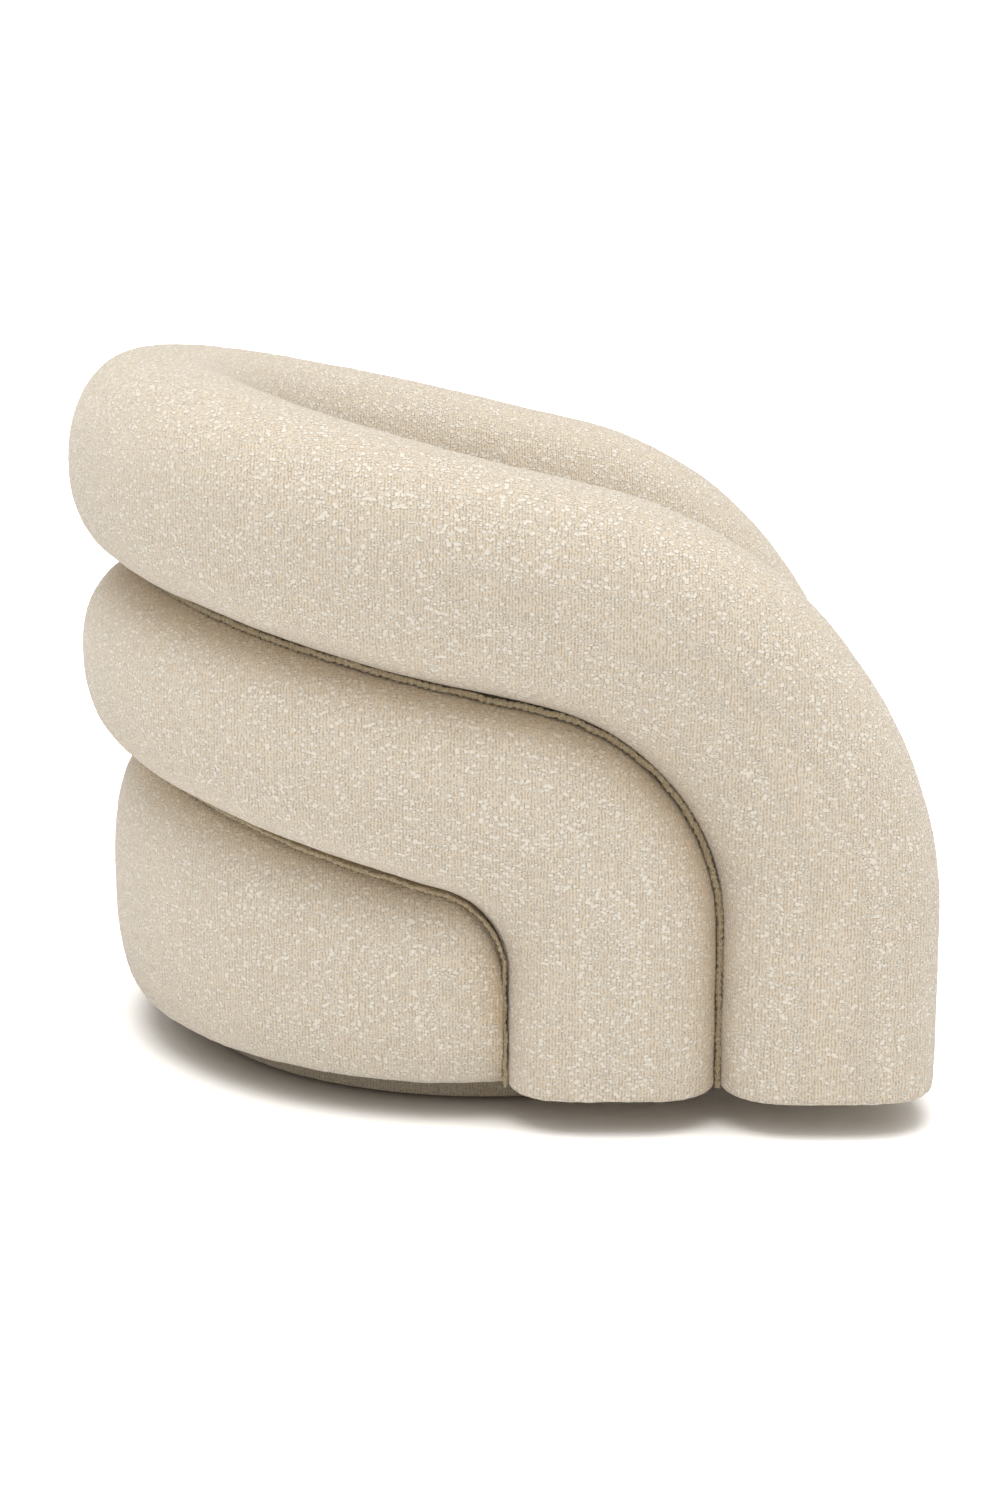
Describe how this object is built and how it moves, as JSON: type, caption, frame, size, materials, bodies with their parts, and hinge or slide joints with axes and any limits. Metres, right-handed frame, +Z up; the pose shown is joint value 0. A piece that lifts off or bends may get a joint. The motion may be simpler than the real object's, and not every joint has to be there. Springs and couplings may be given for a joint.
{
  "type": "swivel tub armchair",
  "caption": "Low swivel tub armchair: stacked padded fabric rolls wrap the sides and back and run down as the front legs, over a recessed round turning base.",
  "frame": {"origin": "on the floor under the swivel axis, which is the centre of the bounding box in plan", "axes": "+Z up along the swivel axis; the chair faces -Y, so its back is at +Y; -X is the side of the sitter's right arm"},
  "size_m": [0.836, 0.852, 0.7],
  "materials": {
    "boucle": "matte",
    "welt_cloth": "matte",
    "foam": "matte",
    "plywood": "matte",
    "hardwood": "matte",
    "steel": "satin",
    "lining": "matte",
    "nylon": "satin"
  },
  "bodies": {
    "base": {"plinth_lower_disc": "plywood", "plinth_upper_disc": "plywood", "plinth_band": "boucle", "swivel_lower_plate": "steel", "glide_1": "nylon", "glide_2": "nylon", "glide_3": "nylon", "glide_4": "nylon", "glide_5": "nylon", "glide_6": "nylon", "base_bolt_1": "steel", "base_bolt_2": "steel", "base_bolt_3": "steel", "base_bolt_4": "steel"},
    "bearing": {"ball_cage": "steel"},
    "seat_shell": {"top_roll": "boucle", "middle_roll": "boucle", "lower_roll": "boucle", "inner_pad": "boucle", "front_apron": "boucle", "upper_welt": "welt_cloth", "lower_welt": "welt_cloth", "seat_deck": "foam", "base_board": "plywood", "side_panel_left": "plywood", "side_panel_right": "plywood", "back_panel": "plywood", "leg_board_left": "plywood", "leg_board_right": "plywood", "front_post_left": "hardwood", "front_post_right": "hardwood", "back_post_left": "hardwood", "back_post_centre": "hardwood", "back_post_right": "hardwood", "seat_rail_front": "hardwood", "seat_rail_back": "hardwood", "seat_rail_left": "hardwood", "seat_rail_right": "hardwood", "swivel_upper_plate": "steel", "top_roll_hoop": "steel", "seat_bolt_1": "steel", "seat_bolt_2": "steel", "seat_bolt_3": "steel", "seat_bolt_4": "steel", "seat_spring_1": "steel", "seat_spring_2": "steel", "seat_spring_3": "steel", "seat_spring_4": "steel", "dust_cover": "lining"},
    "cushion": {"cushion_cover": "boucle", "cushion_core": "foam", "cushion_zip": "nylon"}
  },
  "joints": [
    {"name": "seat_swivel", "type": "hinge", "parent": "base", "child": "seat_shell", "pos_m": [0, 0, 0.05], "axis": [0, 0, 1], "continuous": true},
    {"name": "bearing_roll", "type": "hinge", "parent": "base", "child": "bearing", "pos_m": [0, 0, 0.041], "axis": [0, 0, 1], "continuous": true},
    {"name": "cushion_lift", "type": "slide", "parent": "seat_shell", "child": "cushion", "axis": [0, 0, 1], "range_m": [0, 0.45]}
  ],
  "couplings": [
    {"joint": "bearing_roll", "follows": "seat_swivel", "ratio": 0.5}
  ]
}
